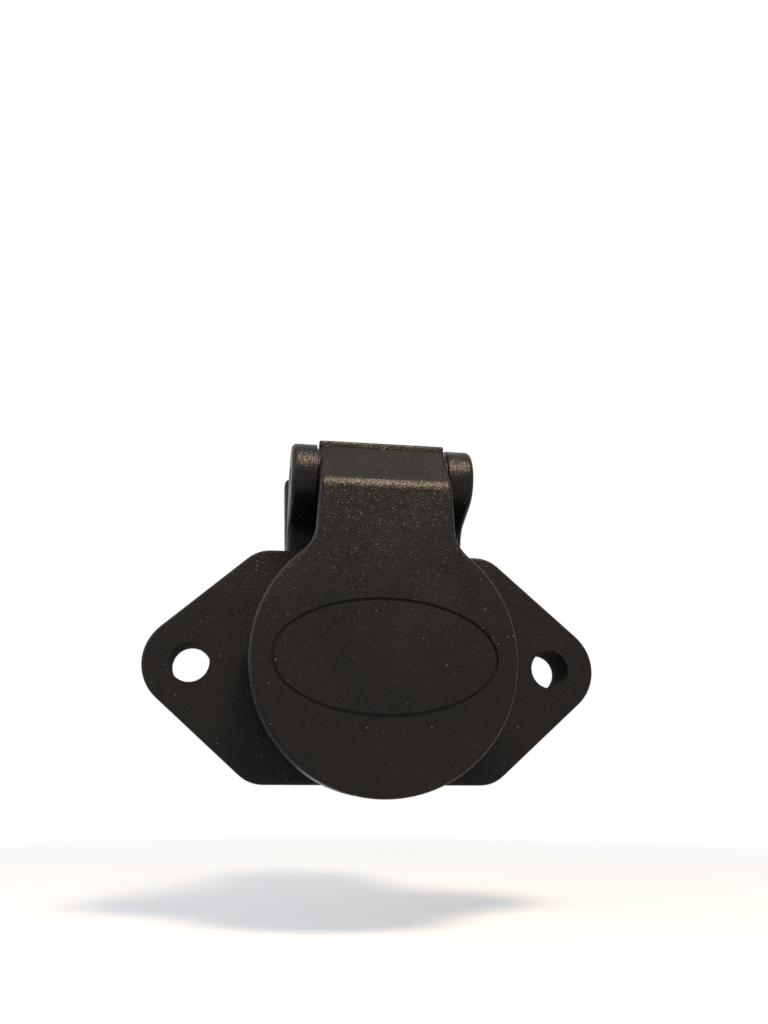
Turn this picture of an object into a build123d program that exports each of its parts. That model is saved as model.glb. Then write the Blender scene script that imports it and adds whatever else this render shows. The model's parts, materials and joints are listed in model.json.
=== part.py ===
from build123d import *
import math
import os

# Panel-mounted charging connector with a spring-loaded hinged lid, in millimetres.
# +X is right as seen from the front, -Y points out of the front, +Z is up.
# The origin is on the socket's axis, on the panel, at the back of the flange gasket.

# Flange, screw holes and gasket
hole_spacing = 50.0
hole_d = 5.3
flange_tip_r = 6.3
flange_flat = 29.2
flange_corner_r = 5.0
flange_t = 5.0
flange_margin = 2.0
flange_edge_r = 0.4
gasket_t = 2.0
gasket_inset = 0.2
gasket_bore_fit = 0.9

# Socket mouth and collar
mouth_d = 23.0
collar_wall = 3.3
collar_h = 8.0
mouth_chamfer = 0.5
collar_root_r = 0.3
keyway_w = 3.2
keyway_depth = 1.0
side_keyway_w = 2.0
side_keyway_angle = 130.0

# Barrel behind the panel
shoulder_w = 0.7
barrel_wall = 1.6
carrier_slot_w = 2.4
carrier_slot_depth = 0.8

# Lid cap
seal_gap = 0.9
lid_plate = 2.0
lid_gap = 0.7
skirt_wall = 1.85
skirt_h = 5.4
lid_edge_r = 0.6
skirt_edge_r = 0.3
field_w = 28.8
field_h = 14.7
field_line_w = 0.4
field_line_depth = 0.35

# Lid arm and hinge
pin_rise = 8.15
pin_forward = 4.15
pin_d = 2.5
pin_fit = 0.06
pin_seat_fit = 0.02
pin_inset = 0.15
pin_chamfer = 0.2
neck_root_half_w = 9.55
arm_top_half_w = 8.6
neck_fillet_r = 5.0
bend_below_pin = 2.3
bend_r = 2.7
bend_inner_r = 0.8
facet_reach = 4.0
facet_past_foot = 1.75
facet_shell = 1.35
spring_room = 7.2
groove_w = 0.2
groove_depth = 0.4
lip_h = 1.0
lip_half_w = 8.75
lip_set_back = 0.18
lip_edge_r = 0.4
lip_side_r = 0.25
barrel_half_w = 8.9
lid_barrel_inset = 0.1
open_angle = 110.0
stop_reach = 0.84
stop_gap = 0.05
knuckle_r = 4.45
ear_gap = 0.2
ear_t = 3.45
ear_slope = 22.0
ear_edge_r = 0.7
ear_root_r = 2.5
gusset_drop = 5.5
gusset_angle = 235.0
back_plate_t = 2.5
back_plate_margin = 0.5
back_plate_rise = 1.65
back_plate_flare = 0.6
back_plate_corner_r = 0.8
back_plate_edge_r = 0.5
neck_rib_w = 1.2
neck_rib_h = 2.0

# Torsion spring
wire_d = 0.9
coil_gap = 0.1
coil_side_gap = 0.15
coil_turns_whole = 5
lid_leg = 2.4
body_leg = 6.2
leg_slot_fit = 0.15
leg_rest_gap = 0.02

# Seals
lid_seal_base = 0.5
lid_seal_bead = 1.2
lid_seal_wall = 0.7
seal_rest_gap = 0.05
boss_ring_wall = 1.2
boss_ring_h = 0.75
mouth_seal_w = 1.4
mouth_seal_t = 1.6
seal_fit = 0.1

# Insert that carries the contacts
carrier_boss_h = 2.5
carrier_t = 5.5
carrier_shoulder = 2.0
insert_fit = 0.1
lock_t = 2.5
lock_gap = 0.05

# Contacts
tip_recess = 5.5
contact_fit = 0.05
collar_fit = 0.1
collar_len = 3.4
crimp_len = 8.1
wire_hole_depth = 6.5
sight_hole_back = 5.6
sight_hole_share = 0.45
tip_share = 0.4
power_pin_d = 5.0
power_collar_d = 6.8
power_crimp_d = 6.2
power_wire_hole_d = 4.6
guard_len = 1.9
guard_stud_d = 2.4
guard_stud_len = 1.4
guard_dome = 0.9
earth_pin_d = 4.0
earth_collar_d = 5.6
earth_crimp_d = 5.0
earth_wire_hole_d = 3.6
signal_pin_d = 1.5
signal_collar_d = 2.6
signal_crimp_d = 2.2
signal_wire_hole_d = 1.4
power_x = 5.3
power_z = -0.9
earth_z = -6.6
signal_inset = 1.9
signal_step = 27.0

# Rear seal and nut
power_cable_d = 5.8
earth_cable_d = 4.8
signal_cable_d = 2.0
grommet_t = 4.5
grommet_rib = 0.4
grommet_ribs = 3
grommet_gap = 0.5
follower_t = 1.5
follower_fit = 0.2
nut_thread_len = 3.3
nut_thread_fit = 0.1
nut_opening_d = 19.8
nut_head_t = 4.0
nut_head_inset = 0.5
nut_ribs = 24
nut_rib_depth = 0.5
nut_chamfer = 0.6

# Places along the socket's axis
panel_y = 0.0
flange_back_y = panel_y - gasket_t
flange_front_y = flange_back_y - flange_t
rim_y = flange_front_y - collar_h
lid_inner_y = rim_y - seal_gap
lid_front_y = lid_inner_y - lid_plate
skirt_back_y = lid_inner_y + skirt_h
tip_y = rim_y + tip_recess
guard_back_y = tip_y + guard_len
boss_front_y = carrier_shoulder - carrier_boss_h
carrier_back_y = carrier_shoulder + carrier_t
collar_front_y = carrier_back_y - collar_len - collar_fit
lock_front_y = carrier_back_y + lock_gap
lock_back_y = lock_front_y + lock_t
crimp_back_y = carrier_back_y + crimp_len
grommet_front_y = crimp_back_y + grommet_gap
grommet_back_y = grommet_front_y + grommet_t
follower_front_y = grommet_back_y + lock_gap
follower_back_y = follower_front_y + follower_t
nut_front_y = follower_back_y + lock_gap
barrel_back_y = nut_front_y + nut_thread_len

# Radii and the hinge's place
mouth_r = mouth_d / 2
collar_r = mouth_r + collar_wall
rear_bore_r = mouth_r + shoulder_w
barrel_r = rear_bore_r + barrel_wall
flange_half_h = barrel_r + flange_margin
skirt_inner_r = collar_r + lid_gap
lid_r = skirt_inner_r + skirt_wall
boss_r = mouth_r - mouth_seal_w - 2 * seal_fit
signal_ring_r = boss_r - signal_inset
insert_r = rear_bore_r - insert_fit
slot_top = rear_bore_r + carrier_slot_depth
pin_y = flange_front_y - pin_forward
pin_z = lid_r + pin_rise
bend_z = pin_z - bend_below_pin
gusset_z = pin_z - gusset_drop
back_plate_z = pin_z + back_plate_rise
ear_inner_x = barrel_half_w + ear_gap
ear_outer_x = ear_inner_x + ear_t
back_plate_half_w = ear_outer_x + back_plate_margin
back_plate_foot_half_w = back_plate_half_w - back_plate_flare
barrel_gap_x = spring_room / 2
ledge_z = pin_z - stop_reach - stop_gap
shell_reach = facet_reach - facet_shell
wire_r = wire_d / 2
coil_r = shell_reach - coil_gap - wire_r
coil_len = spring_room - wire_d - 2 * coil_side_gap
lid_barrel_r = facet_reach - lid_barrel_inset
seal_outer_r = skirt_inner_r - 3 * seal_fit
seal_inner_r = mouth_r - lid_seal_wall

# The sloping facet passes the pin at facet_reach. "along" runs up it, "out" points away from the pin.
bend_dy = pin_y - lid_front_y
facet_angle = math.atan2(bend_below_pin, bend_dy) + math.asin(
    facet_reach / math.hypot(bend_dy, bend_below_pin)
)
along = Vector(math.cos(facet_angle), math.sin(facet_angle))
out = Vector(-math.sin(facet_angle), math.cos(facet_angle))
pin_yz = Vector(pin_y, pin_z)
stop_out = Vector(math.cos(math.radians(open_angle - 90)), math.sin(math.radians(open_angle - 90)))
stop_up = Vector(-stop_out.Y, stop_out.X)


def facing_front(y):
    """Plane across the socket's axis at depth y, with its normal towards the front."""
    return Plane.XZ.offset(-y)


def facing_right(x):
    """Plane across the hinge's axis at x. Its own axes are the part's Y and Z."""
    return Plane.YZ.offset(x)


def axis_plane(x, z):
    """Plane for the half profile of a turned piece whose axis runs along Y through x and z."""
    return Plane(origin=(x, 0, z), x_dir=(1, 0, 0), z_dir=(0, 0, 1))


def arm_point(outward, upward):
    """Point of the arm's side view, measured from the pin square to the facet and along it."""
    return pin_yz + out * outward + along * upward


def stop_point(up):
    """Point on the lip's back face, measured from the foot of the pin's perpendicular."""
    return pin_yz + stop_out * stop_reach + stop_up * up


def meet(point_a, way_a, point_b, way_b):
    """Point where two lines of the side view cross."""
    turn = way_a.X * way_b.Y - way_a.Y * way_b.X
    gap = point_b - point_a
    return point_a + way_a * ((gap.X * way_b.Y - gap.Y * way_b.X) / turn)


def flange_outline(inset):
    """Rounded rhombus round both screw holes, drawn in the sketch that is open."""
    corner_x = flange_flat / 2
    corner_z = flange_half_h - flange_corner_r
    tips = [(-hole_spacing / 2, 0), (hole_spacing / 2, 0)]
    corners = [(sx * corner_x, sz * corner_z) for sx in (-1, 1) for sz in (-1, 1)]
    with Locations(*tips):
        Circle(flange_tip_r - inset)
    with Locations(*corners):
        Circle(flange_corner_r - inset)
    make_hull()


def contact_places():
    """Name, x, z and kind of each contact."""
    places = [
        ("power_contact_left", -power_x, power_z, "power"),
        ("power_contact_right", power_x, power_z, "power"),
        ("earth_contact", 0.0, earth_z, "earth"),
    ]
    for n in range(5):
        angle = math.radians(90 + (2 - n) * signal_step)
        x = signal_ring_r * math.cos(angle)
        z = signal_ring_r * math.sin(angle)
        places.append((f"signal_contact_{n + 1}", x, z, "signal"))
    return places


pin_size = {"power": power_pin_d, "earth": earth_pin_d, "signal": signal_pin_d}
collar_size = {"power": power_collar_d, "earth": earth_collar_d, "signal": signal_collar_d}
crimp_size = {"power": power_crimp_d, "earth": earth_crimp_d, "signal": signal_crimp_d}
wire_hole_size = {
    "power": power_wire_hole_d,
    "earth": earth_wire_hole_d,
    "signal": signal_wire_hole_d,
}
cable_size = {"power": power_cable_d, "earth": earth_cable_d, "signal": signal_cable_d}


def contact_holes(sizes, extra, mode=Mode.ADD):
    """One circle for each contact, in the sketch that is open."""
    for _, x, z, kind in contact_places():
        with Locations((x, z)):
            Circle(sizes[kind] / 2 + extra, mode=mode)


def pin_tip(kind):
    """Half profile of a pin's front end, from the axis out to its full radius."""
    pin_r = pin_size[kind] / 2
    if kind == "power":
        stud_r = guard_stud_d / 2
        stud_y = guard_back_y - guard_stud_len
        return [(0, stud_y), (stud_r, stud_y), (stud_r, guard_back_y), (pin_r, guard_back_y)]
    point = pin_r * tip_share
    return [(0, tip_y), (pin_r - point, tip_y), (pin_r, tip_y + point)]


# Hinge ears, each a knuckle carried forward from the flange. They belong to the front housing.
foot_z = flange_half_h - flange_t
slope = math.radians(ear_slope)
under = pin_yz + Vector(-math.sin(slope), -math.cos(slope)) * knuckle_r
knee_z = under.Y - (flange_front_y - under.X) * math.tan(slope)
ear_top = Vector(flange_back_y - back_plate_t, back_plate_z - back_plate_edge_r)
to_top = ear_top - pin_yz
top_tangent = math.atan2(to_top.Y, to_top.X) + math.acos(knuckle_r / to_top.length)
over = pin_yz + Vector(math.cos(top_tangent), math.sin(top_tangent)) * knuckle_r

with BuildPart() as hinge_ears:
    for side in (-1, 1):
        with BuildSketch(facing_right(side * ear_inner_x)) as ear:
            with Locations((pin_y, pin_z)):
                Circle(knuckle_r)
            with BuildLine():
                Polyline(
                    (over.X, over.Y),
                    (ear_top.X, ear_top.Y),
                    (flange_back_y, ear_top.Y),
                    (flange_back_y, foot_z),
                    (flange_front_y, foot_z),
                    (flange_front_y, knee_z),
                    (under.X, under.Y),
                    (pin_y, pin_z),
                    close=True,
                )
            make_face()
            fillet(ear.vertices().sort_by_distance((flange_front_y, knee_z))[0], ear_root_r)
        extrude(amount=side * ear_t)
    outer_faces = hinge_ears.faces().filter_by(Axis.X).sort_by(Axis.X)
    for face in (outer_faces[0], outer_faces[-1]):
        rounded = [edge for edge in face.edges() if (edge @ 0.5).Y < flange_back_y - 0.1]
        fillet([edge for edge in rounded if (edge @ 0.5).Z > foot_z + 0.1], ear_edge_r)

# Front housing: flange, collar, hinge ears and rear barrel in one moulding
with BuildPart() as front_housing:
    # Plate behind the ears, rounded on its front
    with BuildSketch(facing_front(flange_back_y)) as back_plate:
        with BuildLine():
            Polyline(
                (-back_plate_foot_half_w, foot_z),
                (-back_plate_half_w, back_plate_z),
                (back_plate_half_w, back_plate_z),
                (back_plate_foot_half_w, foot_z),
                close=True,
            )
        make_face()
        fillet(back_plate.vertices().group_by(Axis.Y)[-1], back_plate_corner_r)
    extrude(amount=back_plate_t)
    plate_front = front_housing.faces().sort_by(Axis.Y)[0]
    fillet(plate_front.edges().filter_by(lambda edge: (edge @ 0.5).Z > foot_z + 0.1), back_plate_edge_r)

    # Flange
    with BuildSketch(facing_front(flange_back_y)):
        flange_outline(0)
    extrude(amount=flange_t)
    flange_front = front_housing.faces().sort_by(Axis.Y)[0]
    fillet(flange_front.edges(), flange_edge_r)

    add(hinge_ears.part)

    # Wall between the ears, whose top stops the open lid
    with BuildSketch(facing_right(0)):
        with BuildLine():
            Polyline(
                (flange_front_y, foot_z),
                (flange_front_y, ledge_z),
                (flange_back_y, ledge_z),
                (flange_back_y, foot_z),
                close=True,
            )
        make_face()
    extrude(amount=ear_inner_x, both=True)

    # Collar and rear barrel
    with BuildSketch(Plane.XY):
        with BuildLine():
            Polyline(
                (0, rim_y),
                (collar_r - mouth_chamfer, rim_y),
                (collar_r, rim_y + mouth_chamfer),
                (collar_r, (flange_front_y + flange_back_y) / 2),
                (barrel_r, (flange_front_y + flange_back_y) / 2),
                (barrel_r, barrel_back_y - mouth_chamfer),
                (barrel_r - mouth_chamfer, barrel_back_y),
                (0, barrel_back_y),
                close=True,
            )
        make_face()
    revolve(axis=Axis.Y)
    root = front_housing.edges().filter_by(GeomType.CIRCLE).filter_by(
        lambda edge: abs(edge.radius - collar_r) < 0.01 and abs((edge @ 0).Y - flange_front_y) < 0.01
    )
    fillet(root, collar_root_r)

    # Mouth, shoulder and rear bore
    with BuildSketch(Plane.XY):
        with BuildLine():
            Polyline(
                (0, rim_y),
                (mouth_r + mouth_chamfer, rim_y),
                (mouth_r, rim_y + mouth_chamfer),
                (mouth_r, carrier_shoulder),
                (rear_bore_r, carrier_shoulder),
                (rear_bore_r, barrel_back_y - mouth_chamfer),
                (rear_bore_r + mouth_chamfer, barrel_back_y),
                (0, barrel_back_y),
                close=True,
            )
        make_face()
    revolve(axis=Axis.Y, mode=Mode.SUBTRACT)

    # Keyways that let the plug in one way round
    with BuildSketch(facing_front(boss_front_y)):
        with Locations((0, mouth_r)):
            Rectangle(keyway_w, 2 * keyway_depth)
        for turn in (-side_keyway_angle, side_keyway_angle):
            with PolarLocations(mouth_r, 1, start_angle=90 + turn):
                Rectangle(2 * keyway_depth, side_keyway_w)
    extrude(amount=boss_front_y - rim_y, mode=Mode.SUBTRACT)

    # Slot that keeps the insert from turning
    with BuildSketch(facing_front(barrel_back_y)):
        with Locations((0, slot_top / 2)):
            Rectangle(carrier_slot_w, slot_top)
    extrude(amount=barrel_back_y - carrier_shoulder, mode=Mode.SUBTRACT)

    # Screw holes and the hinge pin's seats
    with BuildSketch(facing_front(flange_back_y)):
        with Locations((-hole_spacing / 2, 0), (hole_spacing / 2, 0)):
            Circle(hole_d / 2)
    extrude(amount=flange_t, mode=Mode.SUBTRACT)
    with BuildSketch(facing_right(0)):
        with Locations((pin_y, pin_z)):
            Circle(pin_d / 2 + pin_seat_fit)
    extrude(amount=ear_outer_x, both=True, mode=Mode.SUBTRACT)

    # Slot in the wall's top for the spring's leg
    leg_floor_z = pin_z - coil_r - wire_r - leg_rest_gap
    leg_end_y = pin_y + body_leg + wire_d
    with BuildSketch(facing_right(coil_len / 2)):
        with BuildLine():
            Polyline(
                (flange_front_y, leg_floor_z),
                (leg_end_y, leg_floor_z),
                (leg_end_y, ledge_z),
                (flange_front_y, ledge_z),
                close=True,
            )
        make_face()
    extrude(amount=wire_r + leg_slot_fit, both=True, mode=Mode.SUBTRACT)

# Lid: cap, neck, sloping facet, lip and hinge barrels in one moulding
facet_top = arm_point(facet_reach, facet_past_foot)
facet_top_inner = facet_top - out * facet_shell
shell_inner_top = meet(arm_point(shell_reach, 0), along, stop_point(0), stop_up)
shell_inner_foot = meet(arm_point(shell_reach, 0), along, Vector(lid_inner_y, 0), Vector(0, 1))
groove_near = facet_top - out * groove_depth
groove_far = groove_near + along * groove_w
lip_front_y = facet_top.X + lip_set_back
lip_top_z = facet_top.Y + lip_h
lip_foot = meet(groove_far, out, Vector(lip_front_y, 0), Vector(0, 1))
lip_back = meet(stop_point(0), stop_up, Vector(0, lip_top_z), Vector(1, 0))

# Lip above the groove. It belongs to the lid, and its back rests on the wall when the lid is open.
with BuildPart() as lid_lip:
    with BuildSketch(facing_right(0)) as lip_outline:
        with BuildLine():
            Polyline(
                (groove_near.X, groove_near.Y),
                (groove_far.X, groove_far.Y),
                (lip_foot.X, lip_foot.Y),
                (lip_front_y, lip_top_z),
                (lip_back.X, lip_back.Y),
                (shell_inner_top.X, shell_inner_top.Y),
                (facet_top_inner.X, facet_top_inner.Y),
                close=True,
            )
        make_face()
        fillet(lip_outline.vertices().sort_by_distance((lip_front_y, lip_top_z))[0], lip_edge_r)
    extrude(amount=lip_half_w, both=True)
    lip_rim = lid_lip.edges().filter_by(
        lambda edge: abs(abs((edge @ 0.5).X) - lip_half_w) < 0.01
        and (edge @ 0.5).Z > lip_foot.Y + 0.01
        and (edge @ 0.5).Y < lip_back.X
    )
    fillet(lip_rim, lip_side_r)

with BuildPart() as lid:
    # Seen from the front: the cap, and the neck that runs up into the arm
    outline_top = lip_top_z + 1
    with BuildSketch(facing_front(skirt_back_y)) as face_outline:
        Circle(lid_r)
        with BuildLine():
            Polyline(
                (-neck_root_half_w, lid_r / 2),
                (-arm_top_half_w, outline_top),
                (arm_top_half_w, outline_top),
                (neck_root_half_w, lid_r / 2),
                close=True,
            )
        make_face()
        fillet(face_outline.vertices().sort_by(Axis.Y).filter_by(
            lambda corner: corner.Y > lid_r / 2 and abs(math.hypot(corner.X, corner.Y) - lid_r) < 0.01
        ), neck_fillet_r)
    extrude(amount=skirt_back_y - lid_front_y + lid_plate)

    # Seen from the side: plate, bend, facet and the shell's inner face
    with BuildSketch(facing_right(0)) as side_outline:
        with BuildLine():
            Polyline(
                (lid_front_y, -lid_r - 1),
                (lid_front_y, bend_z),
                (facet_top.X, facet_top.Y),
                (facet_top_inner.X, facet_top_inner.Y),
                (shell_inner_foot.X, shell_inner_foot.Y),
                (lid_inner_y, -lid_r - 1),
                close=True,
            )
        make_face()
        fillet(side_outline.vertices().sort_by_distance((lid_front_y, bend_z))[0], bend_r)
        fillet(side_outline.vertices().sort_by_distance(shell_inner_foot)[0], bend_inner_r)
    extrude(amount=lid_r + 1, both=True, mode=Mode.INTERSECT)

    # Round the whole rim of the visible skin, up to the groove
    middle = arm_point(facet_reach, 0)
    skin = [
        lid.faces().sort_by(Axis.Y)[0],
        lid.faces().filter_by(GeomType.CYLINDER).sort_by_distance((0, lid_front_y, bend_z))[0],
        lid.faces().sort_by_distance((0, middle.X, middle.Y))[0],
    ]
    skin_edges = [edge for face in skin for edge in face.edges()]
    rim = [
        edge
        for edge in skin_edges
        if skin_edges.count(edge) == 1 and (edge @ 0.5).Z < facet_top.Y - 0.01
    ]
    fillet(rim, lid_edge_r)
    add(lid_lip.part)

    # Skirt round the collar
    with BuildSketch(facing_front(skirt_back_y)):
        Circle(lid_r)
        Circle(skirt_inner_r, mode=Mode.SUBTRACT)
    extrude(amount=skirt_h)
    skirt_edge = lid.edges().filter_by(GeomType.CIRCLE).filter_by(
        lambda edge: abs(edge.radius - lid_r) < 0.01 and abs((edge @ 0).Y - skirt_back_y) < 0.01
    )
    fillet(skirt_edge, skirt_edge_r)

    # Hinge barrels and the gussets under them
    foot_turn = math.radians(gusset_angle)
    barrel_foot = pin_yz + Vector(math.cos(foot_turn), math.sin(foot_turn)) * lid_barrel_r
    for side in (-1, 1):
        with BuildSketch(facing_right(side * barrel_gap_x)):
            with Locations((pin_y, pin_z)):
                Circle(lid_barrel_r)
            with BuildLine():
                Polyline(
                    (pin_y, pin_z),
                    (barrel_foot.X, barrel_foot.Y),
                    (lid_inner_y, gusset_z),
                    (lid_inner_y, shell_inner_foot.Y),
                    (shell_inner_top.X, shell_inner_top.Y),
                    close=True,
                )
            make_face()
        extrude(amount=side * (barrel_half_w - barrel_gap_x))

    # Ribs behind the neck's sides
    rib_low_z = lid_r - skirt_wall / 2
    rib_high_z = gusset_z + neck_rib_w
    rib_x = barrel_half_w - neck_rib_w / 2
    with BuildSketch(facing_front(lid_inner_y)):
        with Locations(*[(side * rib_x, (rib_low_z + rib_high_z) / 2) for side in (-1, 1)]):
            Rectangle(neck_rib_w, rib_high_z - rib_low_z)
    extrude(amount=-neck_rib_h)

    # Ring that holds the seal in place
    with BuildSketch(facing_front(lid_inner_y)):
        Circle(seal_inner_r - seal_fit)
        Circle(seal_inner_r - seal_fit - boss_ring_wall, mode=Mode.SUBTRACT)
    extrude(amount=-boss_ring_h)

    # Fine oval line round a field that is left bare
    with BuildSketch(facing_front(lid_front_y)):
        Ellipse((field_w + field_line_w) / 2, (field_h + field_line_w) / 2)
        Ellipse((field_w - field_line_w) / 2, (field_h - field_line_w) / 2, mode=Mode.SUBTRACT)
    extrude(amount=-field_line_depth, mode=Mode.SUBTRACT)

    # Bore for the hinge pin
    with BuildSketch(facing_right(0)):
        with Locations((pin_y, pin_z)):
            Circle(pin_d / 2 + pin_fit)
    extrude(amount=barrel_half_w, both=True, mode=Mode.SUBTRACT)

# Hinge pin
with BuildPart() as hinge_pin:
    with BuildSketch(facing_right(0)):
        with Locations((pin_y, pin_z)):
            Circle(pin_d / 2)
    extrude(amount=ear_outer_x - pin_inset, both=True)
    chamfer(hinge_pin.edges().filter_by(GeomType.CIRCLE), pin_chamfer)

# Torsion spring: a right-hand coil, one leg on the wall and one behind the facet
with BuildPart() as lid_spring:
    coil_turns = coil_turns_whole + 0.5 - facet_angle / (2 * math.pi)
    with BuildLine() as coil:
        Helix(
            pitch=coil_len / coil_turns,
            height=coil_len,
            radius=coil_r,
            center=(coil_len / 2, pin_y, pin_z),
            direction=(-1, 0, 0),
        )
    with BuildSketch(Plane(origin=coil.line @ 0, z_dir=coil.line % 0)):
        Circle(wire_r)
    sweep(path=coil.line, is_frenet=True)
    body_end = coil.line @ 0
    lid_end = coil.line @ 1
    with BuildSketch(Plane(origin=body_end, z_dir=(0, 1, 0))):
        Circle(wire_r)
    extrude(amount=body_leg)
    with BuildSketch(Plane(origin=lid_end, z_dir=(0, along.X, along.Y))):
        Circle(wire_r)
    extrude(amount=lid_leg)
    with Locations(body_end, lid_end):
        Sphere(wire_r)

# Seal inside the lid, which closes on the collar's rim
with BuildPart() as lid_seal:
    base_y = lid_inner_y + lid_seal_base
    bead_y = rim_y - seal_rest_gap
    bead_mid = (mouth_r + collar_r) / 2
    with BuildSketch(Plane.XY):
        with BuildLine():
            Line((seal_inner_r, lid_inner_y), (seal_outer_r, lid_inner_y))
            Line((seal_outer_r, lid_inner_y), (seal_outer_r, base_y))
            Line((seal_outer_r, base_y), (bead_mid + lid_seal_bead / 2, base_y))
            ThreePointArc(
                (bead_mid + lid_seal_bead / 2, base_y),
                (bead_mid, bead_y),
                (bead_mid - lid_seal_bead / 2, base_y),
            )
            Line((bead_mid - lid_seal_bead / 2, base_y), (seal_inner_r, base_y))
            Line((seal_inner_r, base_y), (seal_inner_r, lid_inner_y))
        make_face()
    revolve(axis=Axis.Y)

# Seal at the bottom of the mouth, which the plug presses on
with BuildPart() as mouth_seal:
    inner = boss_r + seal_fit
    outer = mouth_r - seal_fit
    shoulder_y = carrier_shoulder - mouth_seal_t / 2
    with BuildSketch(Plane.XY):
        with BuildLine():
            Line((inner, carrier_shoulder), (outer, carrier_shoulder))
            Line((outer, carrier_shoulder), (outer, shoulder_y))
            ThreePointArc(
                (outer, shoulder_y),
                ((inner + outer) / 2, carrier_shoulder - mouth_seal_t),
                (inner, shoulder_y),
            )
            Line((inner, shoulder_y), (inner, carrier_shoulder))
        make_face()
    revolve(axis=Axis.Y)

# Gasket between the flange and the panel
with BuildPart() as flange_gasket:
    with BuildSketch(facing_front(panel_y)) as gasket_face:
        flange_outline(gasket_inset)
        with BuildLine():
            Polyline(
                (-back_plate_foot_half_w + gasket_inset, foot_z),
                (-back_plate_half_w + gasket_inset, back_plate_z - gasket_inset),
                (back_plate_half_w - gasket_inset, back_plate_z - gasket_inset),
                (back_plate_foot_half_w - gasket_inset, foot_z),
                close=True,
            )
        make_face()
        fillet(gasket_face.vertices().group_by(Axis.Y)[-1], back_plate_corner_r)
        Circle(barrel_r + gasket_bore_fit, mode=Mode.SUBTRACT)
        with Locations((-hole_spacing / 2, 0), (hole_spacing / 2, 0)):
            Circle(hole_d / 2, mode=Mode.SUBTRACT)
    extrude(amount=gasket_t)


def insert_tab():
    """Outline of a disc that fits the rear bore, with the tab that keeps it from turning."""
    Circle(insert_r)
    with Locations((0, (slot_top - insert_fit) / 2)):
        Rectangle(carrier_slot_w - 2 * insert_fit, slot_top - insert_fit)


# Insulating insert that holds the contacts
with BuildPart() as contact_carrier:
    with BuildSketch(facing_front(carrier_back_y)):
        insert_tab()
    extrude(amount=carrier_t)
    with BuildSketch(facing_front(carrier_shoulder)):
        Circle(boss_r)
    extrude(amount=carrier_boss_h)
    with BuildSketch(facing_front(carrier_back_y)):
        contact_holes(pin_size, contact_fit)
    extrude(amount=carrier_t + carrier_boss_h, mode=Mode.SUBTRACT)
    with BuildSketch(facing_front(carrier_back_y)):
        contact_holes(collar_size, collar_fit)
    extrude(amount=collar_len + collar_fit, mode=Mode.SUBTRACT)

# Second plate that keeps the contacts in
with BuildPart() as contact_lock:
    with BuildSketch(facing_front(lock_back_y)):
        insert_tab()
        contact_holes(crimp_size, collar_fit, Mode.SUBTRACT)
    extrude(amount=lock_t)

# Rubber plug round the wires at the rear
with BuildPart() as wire_grommet:
    rib_r = rear_bore_r - contact_fit
    land_r = rib_r - grommet_rib
    rib_pitch = grommet_t / grommet_ribs
    with BuildSketch(Plane.XY):
        with BuildLine():
            Line((0, grommet_back_y), (0, grommet_front_y))
            Line((0, grommet_front_y), (land_r, grommet_front_y))
            for n in range(grommet_ribs):
                start_y = grommet_front_y + n * rib_pitch
                ThreePointArc(
                    (land_r, start_y),
                    (rib_r, start_y + rib_pitch / 2),
                    (land_r, start_y + rib_pitch),
                )
            Line((land_r, grommet_back_y), (0, grommet_back_y))
        make_face()
    revolve(axis=Axis.Y)
    with BuildSketch(facing_front(grommet_back_y)):
        contact_holes(cable_size, 0)
    extrude(amount=grommet_t, mode=Mode.SUBTRACT)

# Stiff plate behind the rubber plug
with BuildPart() as grommet_follower:
    with BuildSketch(facing_front(follower_back_y)):
        insert_tab()
        contact_holes(cable_size, follower_fit, Mode.SUBTRACT)
    extrude(amount=follower_t)

# Ribbed nut at the rear, open in the middle for the wires
with BuildPart() as tail_nut:
    nut_r = rear_bore_r - nut_thread_fit
    nut_head_r = barrel_r - nut_head_inset
    nut_back_y = barrel_back_y + nut_head_t
    with BuildSketch(facing_front(barrel_back_y)):
        Circle(nut_r)
    extrude(amount=barrel_back_y - nut_front_y)
    with BuildSketch(facing_front(nut_back_y)):
        Circle(nut_head_r)
        with PolarLocations(nut_head_r, nut_ribs):
            Circle(nut_rib_depth, mode=Mode.SUBTRACT)
    extrude(amount=nut_head_t)
    with BuildSketch(facing_front(nut_back_y)):
        Circle(nut_opening_d / 2)
    extrude(amount=nut_back_y - nut_front_y, mode=Mode.SUBTRACT)
    opening_edge = tail_nut.edges().filter_by(GeomType.CIRCLE).filter_by(
        lambda edge: abs(edge.radius - nut_opening_d / 2) < 0.01 and edge.center().Y > barrel_back_y
    )
    chamfer(opening_edge, nut_chamfer)

# Contacts, turned pins with a collar and a crimp barrel for the wire
contacts = {}
for name, x, z, kind in contact_places():
    pin_r = pin_size[kind] / 2
    contact_collar_r = collar_size[kind] / 2
    crimp_r = crimp_size[kind] / 2
    wire_hole_r = wire_hole_size[kind] / 2
    with BuildPart() as contact:
        with BuildSketch(axis_plane(x, z)):
            with BuildLine():
                Polyline(
                    *pin_tip(kind),
                    (pin_r, collar_front_y),
                    (contact_collar_r, collar_front_y),
                    (contact_collar_r, collar_front_y + collar_len),
                    (crimp_r, collar_front_y + collar_len),
                    (crimp_r, crimp_back_y),
                    (wire_hole_r, crimp_back_y),
                    (wire_hole_r, crimp_back_y - wire_hole_depth),
                    (0, crimp_back_y - wire_hole_depth),
                    close=True,
                )
            make_face()
        revolve(axis=Axis((x, 0, z), (0, 1, 0)))
        # Sight hole that shows the wire is fully in
        with BuildSketch(Plane(origin=(x, crimp_back_y - sight_hole_back, z), z_dir=(0, 0, 1))):
            Circle(wire_hole_r * sight_hole_share)
        extrude(amount=crimp_r + 1, mode=Mode.SUBTRACT)
    contacts[name] = contact

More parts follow.
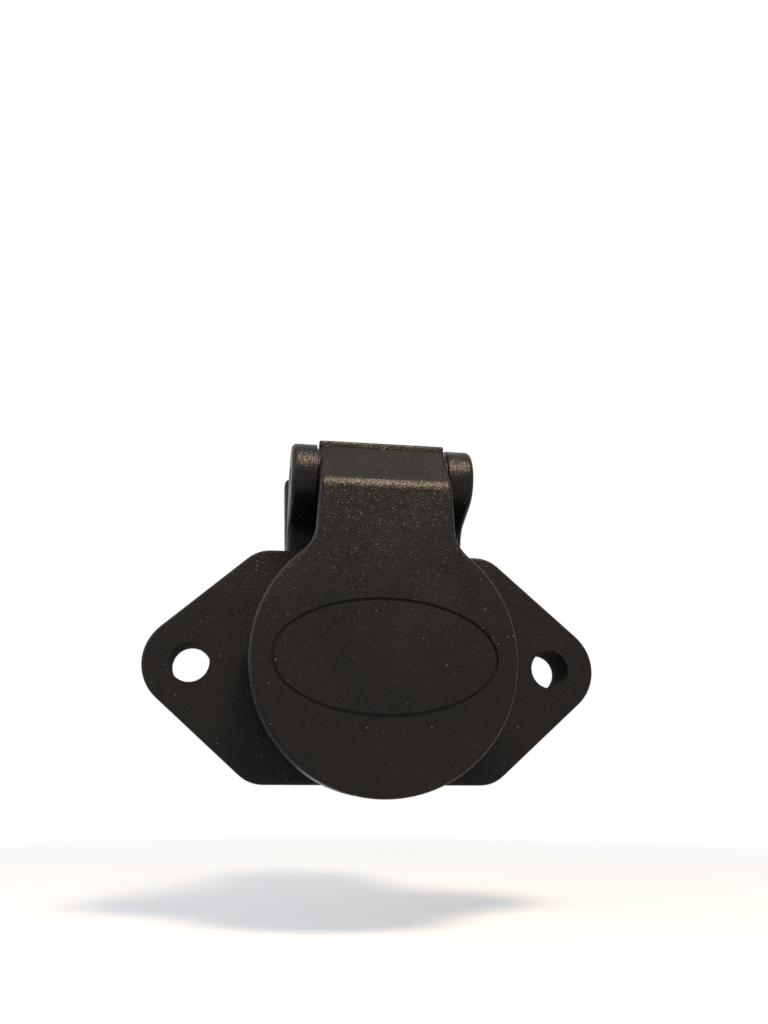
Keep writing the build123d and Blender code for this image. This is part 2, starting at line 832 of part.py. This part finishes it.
# Plastic tips that keep fingers off the power pins
guards = {}
for name, x, z, kind in contact_places():
    if kind != "power":
        continue
    dome_y = tip_y + guard_dome
    with BuildPart() as guard:
        with BuildSketch(axis_plane(x, z)):
            with BuildLine():
                Line((0, tip_y), (power_pin_d / 2 - guard_dome, tip_y))
                RadiusArc(
                    (power_pin_d / 2 - guard_dome, tip_y),
                    (power_pin_d / 2, dome_y),
                    guard_dome,
                )
                Line((power_pin_d / 2, dome_y), (power_pin_d / 2, guard_back_y))
                Line((power_pin_d / 2, guard_back_y), (0, guard_back_y))
                Line((0, guard_back_y), (0, tip_y))
            make_face()
        revolve(axis=Axis((x, 0, z), (0, 1, 0)))
        with BuildSketch(facing_front(guard_back_y)):
            with Locations((x, z)):
                Circle(guard_stud_d / 2 + contact_fit)
        extrude(amount=guard_stud_len + contact_fit, mode=Mode.SUBTRACT)
    guards[name.replace("contact", "guard")] = guard

os.makedirs("parts", exist_ok=True)

front_housing.part.label = "front_housing"
export_step(front_housing.part, "parts/front_housing.step")

lid.part.label = "lid"
export_step(lid.part, "parts/lid.step")

hinge_pin.part.label = "hinge_pin"
export_step(hinge_pin.part, "parts/hinge_pin.step")

lid_spring.part.label = "lid_spring"
export_step(lid_spring.part, "parts/lid_spring.step")

lid_seal.part.label = "lid_seal"
export_step(lid_seal.part, "parts/lid_seal.step")

mouth_seal.part.label = "mouth_seal"
export_step(mouth_seal.part, "parts/mouth_seal.step")

flange_gasket.part.label = "flange_gasket"
export_step(flange_gasket.part, "parts/flange_gasket.step")

contact_carrier.part.label = "contact_carrier"
export_step(contact_carrier.part, "parts/contact_carrier.step")

contact_lock.part.label = "contact_lock"
export_step(contact_lock.part, "parts/contact_lock.step")

wire_grommet.part.label = "wire_grommet"
export_step(wire_grommet.part, "parts/wire_grommet.step")

grommet_follower.part.label = "grommet_follower"
export_step(grommet_follower.part, "parts/grommet_follower.step")

tail_nut.part.label = "tail_nut"
export_step(tail_nut.part, "parts/tail_nut.step")

for name, piece in {**contacts, **guards}.items():
    piece.part.label = name
    export_step(piece.part, f"parts/{name}.step")
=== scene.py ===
import bpy
import json
import math
from mathutils import Matrix, Vector


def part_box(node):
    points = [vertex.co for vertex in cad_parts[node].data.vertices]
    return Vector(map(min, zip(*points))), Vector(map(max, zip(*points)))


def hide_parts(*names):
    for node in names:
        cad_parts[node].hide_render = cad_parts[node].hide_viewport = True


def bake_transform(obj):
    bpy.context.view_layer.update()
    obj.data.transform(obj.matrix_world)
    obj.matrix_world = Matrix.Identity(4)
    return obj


# Looks for a black panel-mounted charging connector with a hinged lid.
# Everything is in metres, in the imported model's frame: -Y is the front, +Z is up.

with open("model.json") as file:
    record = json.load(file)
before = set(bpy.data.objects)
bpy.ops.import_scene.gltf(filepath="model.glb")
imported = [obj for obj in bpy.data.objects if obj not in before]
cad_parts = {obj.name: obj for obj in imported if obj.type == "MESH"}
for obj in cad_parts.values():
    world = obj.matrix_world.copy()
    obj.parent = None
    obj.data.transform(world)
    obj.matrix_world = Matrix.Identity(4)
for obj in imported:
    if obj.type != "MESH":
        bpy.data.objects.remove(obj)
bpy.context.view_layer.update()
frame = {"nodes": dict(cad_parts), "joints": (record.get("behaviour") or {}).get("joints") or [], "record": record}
nodes = frame["nodes"]
record = frame["record"]

MM = 0.001

# Screw holes, from the record's bolt pattern
bolts = next(mount for mount in record["mounts"] if mount["name"] == "flange_holes")["dims"]
HOLE_X = bolts["spacing_x_mm"] / 2 * MM
HOLE_R = bolts["hole_r_mm"] * MM

# The lid's hinge, from the record's joint
hinge_y, hinge_z = frame["joints"][0]["pos_m"][1:]


def new_object(name, data):
    """Links an object to the scene."""
    made = bpy.data.objects.new(name, data)
    bpy.context.scene.collection.objects.link(made)
    return made


class Nodes:
    """Short way to write the node tree of a material or a world."""

    # Sockets of a colour mix, which share their names with those for other kinds of value
    MIX_A, MIX_B, MIX_RESULT = 6, 7, 2

    def __init__(self, owner, output):
        self.owner = owner
        owner.use_nodes = True
        self.tree = owner.node_tree
        self.tree.nodes.clear()
        self.output = self.add(output)

    def add(self, kind, **settings):
        node = self.tree.nodes.new("ShaderNode" + kind)
        for key, value in settings.items():
            setattr(node, key, value)
        return node

    def link(self, a, b):
        self.tree.links.new(a, b)

    def put(self, value, socket):
        """Links an output to a socket, or sets a constant on it."""
        if hasattr(value, "is_output"):
            self.link(value, socket)
        else:
            socket.default_value = value

    def surface(self, output):
        self.link(output, self.output.inputs["Surface"])

    def coordinates(self):
        return self.add("TexCoord").outputs["Object"]

    def noise(self, vector, scale, detail=2.0, roughness=0.5):
        node = self.add("TexNoise")
        node.inputs["Scale"].default_value = scale
        node.inputs["Detail"].default_value = detail
        node.inputs["Roughness"].default_value = roughness
        self.link(vector, node.inputs["Vector"])
        return node.outputs["Fac"]

    def cells(self, vector, size):
        """Random cells of about one size."""
        node = self.add("TexVoronoi", feature="F1")
        node.inputs["Scale"].default_value = 1.0 / size
        self.link(vector, node.inputs["Vector"])
        return node.outputs

    def remap(self, value, span, to_span=(0.0, 1.0)):
        """Moves what lies in one span to another, and stops at its ends."""
        node = self.add("MapRange", clamp=True)
        names = ("From Min", "From Max", "To Min", "To Max")
        for key, number in zip(names, (*span, *to_span)):
            node.inputs[key].default_value = number
        self.link(value, node.inputs["Value"])
        return node.outputs["Result"]

    def mix_color(self, factor, a, b):
        node = self.add("Mix", data_type="RGBA")
        self.link(factor, node.inputs[0])
        for index, color in ((self.MIX_A, a), (self.MIX_B, b)):
            self.put((*color, 1.0) if isinstance(color, tuple) else color, node.inputs[index])
        return node.outputs[self.MIX_RESULT]

    def math(self, operation, a, b=0.0):
        node = self.add("Math", operation=operation)
        self.put(a, node.inputs[0])
        self.put(b, node.inputs[1])
        return node.outputs[0]

    def vector_math(self, operation, a, b=None, second=1):
        node = self.add("VectorMath", operation=operation)
        self.link(a, node.inputs[0])
        if b is not None:
            self.put(b, node.inputs[second])
        return node.outputs

    def bump(self, height, distance, strength=1.0, normal=None):
        node = self.add("Bump")
        node.inputs["Strength"].default_value = strength
        node.inputs["Distance"].default_value = distance
        self.link(height, node.inputs["Height"])
        if normal is not None:
            self.link(normal, node.inputs["Normal"])
        return node.outputs["Normal"]

    def principled(self, values):
        node = self.add("BsdfPrincipled")
        for key, value in values.items():
            self.put(value, node.inputs[key])
        return node.outputs["BSDF"]


def material_nodes(name):
    return Nodes(bpy.data.materials.new(name), "OutputMaterial")


# Where nearly all values of a noise pattern lie
NOISE_SPAN = (0.3, 0.7)

# Black plastics. PER_M is how many of a pattern fit in a metre, SPAN which of its values it blends over.
PLASTIC_GLOSS = 0.125
CLOUDS_PER_M = 110.0
CLOUD_SPAN = (0.35, 0.65)
CLOUD_ROUGHNESS = 0.03
WAVES_PER_M = 200.0
WAVE_DEPTH = 0.12 * MM
GRAIN_PER_M = 2600.0
GRAIN_DEPTH = 0.03 * MM
PIT_SIZE = 0.20 * MM
PIT_DEPTH = 0.022 * MM

# Tiny leaning facets
FACET_SIZE = 0.13 * MM
FACET_TILT = 0.33
FACET_SHARE = 0.42
FACET_POLISH = 0.10

# Pale dots in the base colour, partly real fibre ends and partly painted glints that stand in for sparkle: a few
# bright ones, and many finer and duller ones
GLINT_SPAN = (0.12, 0.30)
BRIGHT_SIZE = 0.34 * MM
BRIGHT_PAINTED_GLINT = (0.15, 0.13, 0.10)
FINE_SIZE = 0.20 * MM
FINE_PAINTED_GLINT = (0.050, 0.041, 0.029)
FINE_PER_BRIGHT = 12

# Painted shade on the walls of the screw holes
WALL_MARGIN = 0.05 * MM
WALL_PAINTED_SHADE = (0.002, 0.002, 0.002)
WALL_ROUGHNESS = 0.95


def painted_glint_dots(n, where, size, share):
    """Mask of small dots in a share of the cells of a random pattern, where glints are painted."""
    cells = n.cells(where, size)
    split = n.add("SeparateColor")
    n.link(cells["Color"], split.inputs["Color"])
    chosen = n.remap(split.outputs["Red"], (1.0 - share, 1.0 - share / 2))
    return n.math("MULTIPLY", chosen, n.remap(cells["Distance"], GLINT_SPAN, (1.0, 0.0)))


def facets(n, where, normal, tilt):
    """Leans the surface a random way in some fine cells, so that they sparkle under a lamp.

    Returns the leaning normal, and a mask of the cells that lean."""
    cells = n.cells(where, FACET_SIZE)
    centred = n.vector_math("SUBTRACT", cells["Color"], (0.5, 0.5, 0.5))["Vector"]
    chooser = n.add("TexWhiteNoise", noise_dimensions="3D")
    n.link(cells["Position"], chooser.inputs["Vector"])
    chosen = n.math("LESS_THAN", chooser.outputs["Value"], FACET_SHARE)
    lean = n.vector_math("SCALE", centred, n.math("MULTIPLY", chosen, tilt), "Scale")["Vector"]
    leaning = n.vector_math("ADD", normal, lean)["Vector"]
    return n.vector_math("NORMALIZE", leaning)["Vector"], chosen


def near_screw_holes(n, where):
    """1 on the walls of both screw holes, 0 elsewhere."""
    split = n.add("SeparateXYZ")
    n.link(where, split.inputs["Vector"])
    beside = n.math("SUBTRACT", n.math("ABSOLUTE", split.outputs["X"]), HOLE_X)
    above = split.outputs["Z"]
    away = n.math("ADD", n.math("MULTIPLY", beside, beside), n.math("MULTIPLY", above, above))
    return n.math("LESS_THAN", away, (HOLE_R + WALL_MARGIN) ** 2)


def paint_hole_shade(n, where, base, rough):
    """Paints shade into the walls of the screw holes: darkens and dulls them, where little light comes in."""
    wall = near_screw_holes(n, where)
    dull = n.math("MAXIMUM", rough, n.math("MULTIPLY", wall, WALL_ROUGHNESS))
    return n.mix_color(wall, base, WALL_PAINTED_SHADE), dull


def moulded_plastic(name, dark, light, rough, grain=1.0, painted_glint_share=0.0, holes=False):
    """Black plastic: spark-eroded grain, faint flow clouds and, if filled with glass, pale dots that are partly
    fibre ends and partly painted glints.
    """
    n = material_nodes(name)
    where = n.coordinates()
    cloud = n.noise(where, CLOUDS_PER_M, detail=4.0, roughness=0.55)
    fine = n.noise(where, GRAIN_PER_M)
    wave = n.noise(where, WAVES_PER_M, roughness=0.4)
    pit = n.cells(where, PIT_SIZE)["Distance"]

    base = n.mix_color(n.remap(cloud, CLOUD_SPAN), dark, light)
    # Painted glints: pale dots mixed into the base colour, besides some real fibre ends
    if painted_glint_share:
        base = n.mix_color(painted_glint_dots(n, where, FINE_SIZE, FINE_PER_BRIGHT * painted_glint_share), base, FINE_PAINTED_GLINT)
        base = n.mix_color(painted_glint_dots(n, where, BRIGHT_SIZE, painted_glint_share), base, BRIGHT_PAINTED_GLINT)
    clouded = n.remap(cloud, NOISE_SPAN, (-CLOUD_ROUGHNESS, CLOUD_ROUGHNESS))
    dull = n.math("ADD", n.remap(fine, NOISE_SPAN, rough), clouded)
    # Painted shade: the screw-hole walls turn near black and dull
    if holes:
        base, dull = paint_hole_shade(n, where, base, dull)

    slow = n.bump(wave, WAVE_DEPTH * grain, strength=0.5)
    soft = n.bump(fine, GRAIN_DEPTH * grain, strength=0.8, normal=slow)
    pitted = n.bump(pit, PIT_DEPTH * grain, normal=soft)
    leaning, chosen = facets(n, where, pitted, FACET_TILT * grain)
    n.surface(n.principled({
        "Specular IOR Level": PLASTIC_GLOSS,
        "Base Color": base,
        "Roughness": n.math("SUBTRACT", dull, n.math("MULTIPLY", chosen, FACET_POLISH)),
        "Normal": leaning,
    }))
    return n.owner


# Rubbers
RUBBER_GLOSS = 0.35
BLOOM_PER_M = 400.0
BLOOM_SPAN = (0.4, 0.75)
BLOOM_LIFT = 1.7
BLOOM_VEIL = 0.004
RUBBER_GRAIN_PER_M = 3500.0
RUBBER_GRAIN_DEPTH = 0.03 * MM


def moulded_rubber(name, color, roughness, holes=False):
    """Matt rubber with a faint bloom."""
    n = material_nodes(name)
    where = n.coordinates()
    bloom = n.noise(where, BLOOM_PER_M, detail=4.0, roughness=0.6)
    fine = n.noise(where, RUBBER_GRAIN_PER_M)
    pale = tuple(channel * BLOOM_LIFT + BLOOM_VEIL for channel in color)
    base = n.mix_color(n.remap(bloom, BLOOM_SPAN), color, pale)
    dull = n.remap(bloom, NOISE_SPAN, (roughness - 0.06, roughness + 0.08))
    # Painted shade: the screw-hole walls turn near black and dull
    if holes:
        base, dull = paint_hole_shade(n, where, base, dull)
    n.surface(n.principled({
        "Specular IOR Level": RUBBER_GLOSS,
        "Base Color": base,
        "Roughness": dull,
        "Normal": n.bump(fine, RUBBER_GRAIN_DEPTH, strength=0.6),
    }))
    return n.owner


# Metals. Their fine lines run along X on a drawn piece, and around Y on a turned one.
LINES_PER_M = 9000.0
LINE_DEPTH = 0.01 * MM
STAINS_PER_M = 500.0
STAIN_SPAN = (0.35, 0.7)
STAIN_SHADE = 0.72
DRAWN = (0.05, 1.0, 1.0)
TURNED = (0.05, 1.0, 0.05)


def lined_metal(name, color, roughness, stretch):
    """Metal with fine lines from drawing or turning, and faint stains."""
    n = material_nodes(name)
    where = n.coordinates()
    stretched = n.add("Mapping")
    stretched.inputs["Scale"].default_value = stretch
    n.link(where, stretched.inputs["Vector"])
    lines = n.noise(stretched.outputs["Vector"], LINES_PER_M)
    stain = n.noise(where, STAINS_PER_M, detail=3.0)
    darker = tuple(channel * STAIN_SHADE for channel in color)
    n.surface(n.principled({
        "Metallic": 1.0,
        "Base Color": n.mix_color(n.remap(stain, STAIN_SPAN), color, darker),
        "Roughness": n.remap(lines, NOISE_SPAN, (roughness - 0.07, roughness + 0.1)),
        "Normal": n.bump(lines, LINE_DEPTH, strength=0.5),
    }))
    return n.owner


plastics = {
    "housing_plastic": {
        "dark": (0.0032, 0.0030, 0.0027),
        "light": (0.0047, 0.0042, 0.0036),
        "rough": (0.32, 0.42),
        "painted_glint_share": 0.006,
        "holes": True,
    },
    "lid_plastic": {
        "dark": (0.0033, 0.0031, 0.0028),
        "light": (0.0050, 0.0044, 0.0037),
        "rough": (0.31, 0.41),
        "painted_glint_share": 0.010,
    },
    "insert_plastic": {
        "dark": (0.018, 0.018, 0.019),
        "light": (0.026, 0.026, 0.027),
        "rough": (0.36, 0.48),
        "grain": 0.5,
    },
    "guard_plastic": {
        "dark": (0.022, 0.022, 0.024),
        "light": (0.030, 0.030, 0.031),
        "rough": (0.34, 0.46),
        "grain": 0.5,
    },
    "nut_plastic": {
        "dark": (0.0105, 0.0105, 0.0105),
        "light": (0.015, 0.015, 0.0148),
        "rough": (0.38, 0.52),
        "painted_glint_share": 0.010,
    },
}
rubbers = {
    "gasket_rubber": {"color": (0.010, 0.010, 0.0105), "roughness": 0.62, "holes": True},
    "seal_rubber": {"color": (0.11, 0.11, 0.115), "roughness": 0.58},
    "grommet_rubber": {"color": (0.035, 0.035, 0.037), "roughness": 0.60},
}
metals = {
    # The pin is much darker than the spring: painted shade, so that the pin seen through the hinge gaps shows no
    # bright spot
    "pin_steel": {"color": (0.10, 0.10, 0.105), "roughness": 0.34, "stretch": DRAWN},
    "spring_steel": {"color": (0.50, 0.50, 0.52), "roughness": 0.32, "stretch": DRAWN},
    "contact_metal": {"color": (0.78, 0.77, 0.74), "roughness": 0.28, "stretch": TURNED},
}
finishes = {}
for make, looks in ((moulded_plastic, plastics), (moulded_rubber, rubbers), (lined_metal, metals)):
    for name, look in looks.items():
        finishes[name] = make(name, **look)

# Every CAD node gets the finish of the slot that the record gives it
for part in record["subparts"]:
    for material_slot in nodes[part["node"]].material_slots:
        material_slot.material = finishes[part["material_slot"]]


# Torsion spring as wound wire, put in place of the CAD part
WIRE_R = 0.45 * MM
COIL_WHOLE_TURNS = 5
LID_LEG_TURN = math.radians(127.06)
LID_LEG = 2.4 * MM
POINTS_A_TURN = 32
LEG_STEPS = 6
WIRE_BEVEL_STEPS = 4

spring_low, spring_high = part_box("lid_spring")
coil_half = spring_high[0] - WIRE_R
coil_r = hinge_y - spring_low[1] - WIRE_R
body_leg = spring_high[1] - hinge_y
coil_angle = 2 * math.pi * COIL_WHOLE_TURNS + LID_LEG_TURN


def coil_point(share):
    """Point of the coil's centre line, from 0 at the body leg to 1 at the lid leg."""
    angle = share * coil_angle
    return Vector((
        coil_half * (1 - 2 * share),
        hinge_y - coil_r * math.sin(angle),
        hinge_z - coil_r * math.cos(angle),
    ))


def spring_line():
    """Centre line of the wire: body leg, coil and lid leg, which leave the coil straight on."""
    start, end = coil_point(0), coil_point(1)
    coil_steps = round(POINTS_A_TURN * coil_angle / (2 * math.pi))
    lid_way = Vector((0, -math.cos(LID_LEG_TURN), math.sin(LID_LEG_TURN)))
    legs = [step / LEG_STEPS for step in range(1, LEG_STEPS + 1)]
    line = [start + Vector((0, body_leg * share, 0)) for share in reversed(legs)]
    line += [coil_point(step / coil_steps) for step in range(coil_steps + 1)]
    return line + [end + lid_way * LID_LEG * share for share in legs]


def wound_wire(name, line, radius):
    """Round wire along a line, as a mesh."""
    curve = bpy.data.curves.new(name, "CURVE")
    curve.dimensions = "3D"
    curve.bevel_depth = radius
    curve.bevel_resolution = WIRE_BEVEL_STEPS
    curve.use_fill_caps = True
    spline = curve.splines.new("POLY")
    spline.points.add(len(line) - 1)
    for point, place in zip(spline.points, line):
        point.co = (*place, 1.0)
    tube = bpy.data.objects.new(name, curve)
    mesh = bpy.data.meshes.new_from_object(tube)
    bpy.data.objects.remove(tube)
    mesh.name = name
    for face in mesh.polygons:
        face.use_smooth = len(face.vertices) == 4
    return mesh


spring = new_object("wound_lid_spring", wound_wire("wound_lid_spring", spring_line(), WIRE_R))
spring.data.materials.clear()
spring.data.materials.append(finishes["spring_steel"])
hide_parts("lid_spring")
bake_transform(spring)


# Floor, world and lamps
FLOOR_Z = -34 * MM
FLOOR_REACH = 3.0


def seen_ray(n):
    """1 for what the camera, a mirror or glass looks at, 0 for light on its way to the object."""
    path = n.add("LightPath").outputs
    mirrored = n.math("MAXIMUM", path["Is Glossy Ray"], path["Is Transmission Ray"])
    return n.math("MAXIMUM", path["Is Camera Ray"], mirrored)


def white_floor(name, color, shadow_share, fade_from, fade_to):
    """Pale matt floor. What looks at it sees white with the object's shadow, which fades out."""
    n = material_nodes(name)
    matt = n.principled({"Base Color": (*color, 1.0), "Roughness": 0.9, "Specular IOR Level": 0.0})
    glow = n.add("Emission")
    glow.inputs["Color"].default_value = (1.0, 1.0, 1.0, 1.0)
    glow.inputs["Strength"].default_value = 1.0
    away = n.vector_math("LENGTH", n.coordinates())["Value"]
    white_share = n.remap(away, (fade_from, fade_to), (1.0 - shadow_share, 1.0))
    mix = n.add("MixShader")
    n.link(n.math("MULTIPLY", white_share, seen_ray(n)), mix.inputs[0])
    n.link(matt, mix.inputs[1])
    n.link(glow.outputs[0], mix.inputs[2])
    n.surface(mix.outputs[0])
    return n.owner


def studio_world(ambient_color, ambient_strength):
    """Even ambient light on the object, and plain white wherever the camera, a mirror or glass looks."""
    world = bpy.data.worlds.new("studio")
    bpy.context.scene.world = world
    n = Nodes(world, "OutputWorld")
    mix = n.add("MixShader")
    n.link(seen_ray(n), mix.inputs[0])
    lights = ((ambient_color, ambient_strength), ((1.0, 1.0, 1.0), 1.0))
    for socket, (color, strength) in zip(mix.inputs[1:], lights):
        background = n.add("Background")
        background.inputs["Color"].default_value = (*color, 1.0)
        background.inputs["Strength"].default_value = strength
        n.link(background.outputs[0], socket)
    n.surface(mix.outputs[0])


def softbox(name, at, target, side, power, color):
    """Square area light at one point, aimed at another. Sizes in millimetres."""
    light = bpy.data.lights.new(name, "AREA")
    light.shape = "SQUARE"
    light.size = side * MM
    light.energy = power
    light.color = color
    lamp = new_object(name, light)
    lamp.location = Vector(at) * MM
    aim = Vector(target) * MM - lamp.location
    lamp.rotation_euler = aim.to_track_quat("-Z", "Y").to_euler()


corners = ((-1, -1), (1, -1), (1, 1), (-1, 1))
floor_points = [(x * FLOOR_REACH, y * FLOOR_REACH, FLOOR_Z) for x, y in corners]
floor_mesh = bpy.data.meshes.new("floor")
floor_mesh.from_pydata(floor_points, [], [(0, 1, 2, 3)])
floor = new_object("floor", floor_mesh)
floor.data.materials.append(white_floor(
    "floor_white", color=(0.78, 0.80, 0.82), shadow_share=0.5, fade_from=50 * MM, fade_to=200 * MM
))

studio_world(ambient_color=(0.96, 0.98, 1.0), ambient_strength=0.25)
softbox(
    "key_above", at=(36, -165, 200), target=(0, -17, 24), side=75, power=1.4, color=(1.0, 0.77, 0.55)
)
softbox(
    "fill_left", at=(-280, -90, 110), target=(0, -18, 0), side=400, power=1.1, color=(0.80, 0.87, 1.0)
)

bpy.context.scene.view_settings.view_transform = "Standard"

# The photograph's camera, found by fitting the flange, its holes and the lid
IMAGE_H = 1024
FOCAL_PX = 936.0
SENSOR = 36.0
NEAREST = 0.001
FARTHEST = 20.0
CAMERA_AT = Vector((-17.94, -135.41, -14.34)) * MM
TILT_X, TILT_Y, TILT_Z = (math.radians(angle) for angle in (-15.642, -8.487, 0.270))


def turn(axis, angle):
    return Matrix.Rotation(angle, 3, axis)


# Rows of the fitted rotation: the image's right, its down and its depth, in the model's frame
unturned = Matrix(((1, 0, 0), (0, 0, -1), (0, 1, 0)))
right, down, depth = turn("Z", TILT_Z) @ turn("X", TILT_X) @ turn("Y", TILT_Y) @ unturned
camera_data = bpy.data.cameras.new("camera")
camera_data.sensor_fit = "VERTICAL"
camera_data.sensor_height = SENSOR
camera_data.lens = FOCAL_PX / IMAGE_H * SENSOR
camera_data.clip_start = NEAREST
camera_data.clip_end = FARTHEST
camera = new_object("camera", camera_data)
camera.matrix_world = Matrix.Translation(CAMERA_AT) @ Matrix((right, -down, -depth)).transposed().to_4x4()
bpy.context.scene.camera = camera
